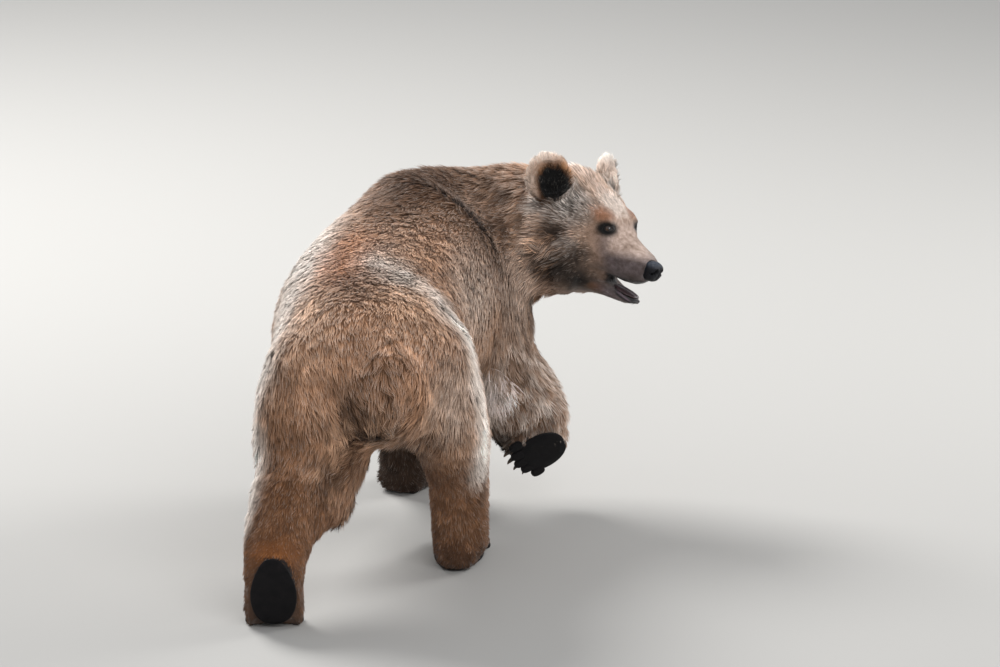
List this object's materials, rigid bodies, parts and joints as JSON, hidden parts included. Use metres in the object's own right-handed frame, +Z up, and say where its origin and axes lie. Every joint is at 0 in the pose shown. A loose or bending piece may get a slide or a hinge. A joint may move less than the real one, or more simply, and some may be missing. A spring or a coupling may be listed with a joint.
{
  "type": "brown bear",
  "caption": "Life-size adult brown bear, standing in mid-stride and looking back over its right shoulder with a fore paw raised.",
  "frame": {"origin": "on the floor, under the centre of the bounding box", "axes": "+Y is the way the hips and trunk head, +X is the bear's right side, +Z is up; the head looks back towards +X and -Y"},
  "size_m": [1.12, 1.5755, 0.9934],
  "materials": {
    "coat_body": "long dense brown fur with pale tips",
    "coat_head": "short grizzled greyish brown fur",
    "coat_legs": "dark brown fur",
    "sole_skin": "rough bare black pads",
    "claw_horn": "worn dark horn",
    "nose_skin": "moist pebbled black skin",
    "eye": "wet dark brown eye",
    "tongue": "moist dull pink"
  },
  "bodies": {
    "root": {"barrel": "coat_body", "chest": "coat_body", "claw_fore_left_1": "claw_horn", "claw_fore_left_2": "claw_horn", "claw_fore_left_3": "claw_horn", "claw_fore_left_4": "claw_horn", "claw_fore_left_5": "claw_horn", "claw_fore_right_1": "claw_horn", "claw_fore_right_2": "claw_horn", "claw_fore_right_3": "claw_horn", "claw_fore_right_4": "claw_horn", "claw_fore_right_5": "claw_horn", "claw_hind_left_1": "claw_horn", "claw_hind_left_2": "claw_horn", "claw_hind_left_3": "claw_horn", "claw_hind_left_4": "claw_horn", "claw_hind_left_5": "claw_horn", "claw_hind_right_1": "claw_horn", "claw_hind_right_2": "claw_horn", "claw_hind_right_3": "claw_horn", "claw_hind_right_4": "claw_horn", "claw_hind_right_5": "claw_horn", "ear_left": "coat_head", "ear_right": "coat_head", "eye_left": "eye", "eye_right": "eye", "forearm_left": "coat_legs", "forearm_right": "coat_legs", "forepaw_left": "coat_legs", "forepaw_right": "coat_legs", "head": "coat_head", "hind_foot_left": "coat_legs", "hind_foot_right": "coat_legs", "hips": "coat_body", "jaw": "coat_head", "neck": "coat_body", "nose_pad": "nose_skin", "shank_left": "coat_legs", "shank_right": "coat_legs", "sole_fore_left": "sole_skin", "sole_fore_right": "sole_skin", "sole_hind_left": "sole_skin", "sole_hind_right": "sole_skin", "tail": "coat_body", "thigh_left": "coat_body", "thigh_right": "coat_body", "tongue": "tongue", "upper_arm_left": "coat_body", "upper_arm_right": "coat_body"}
  },
  "joints": []
}
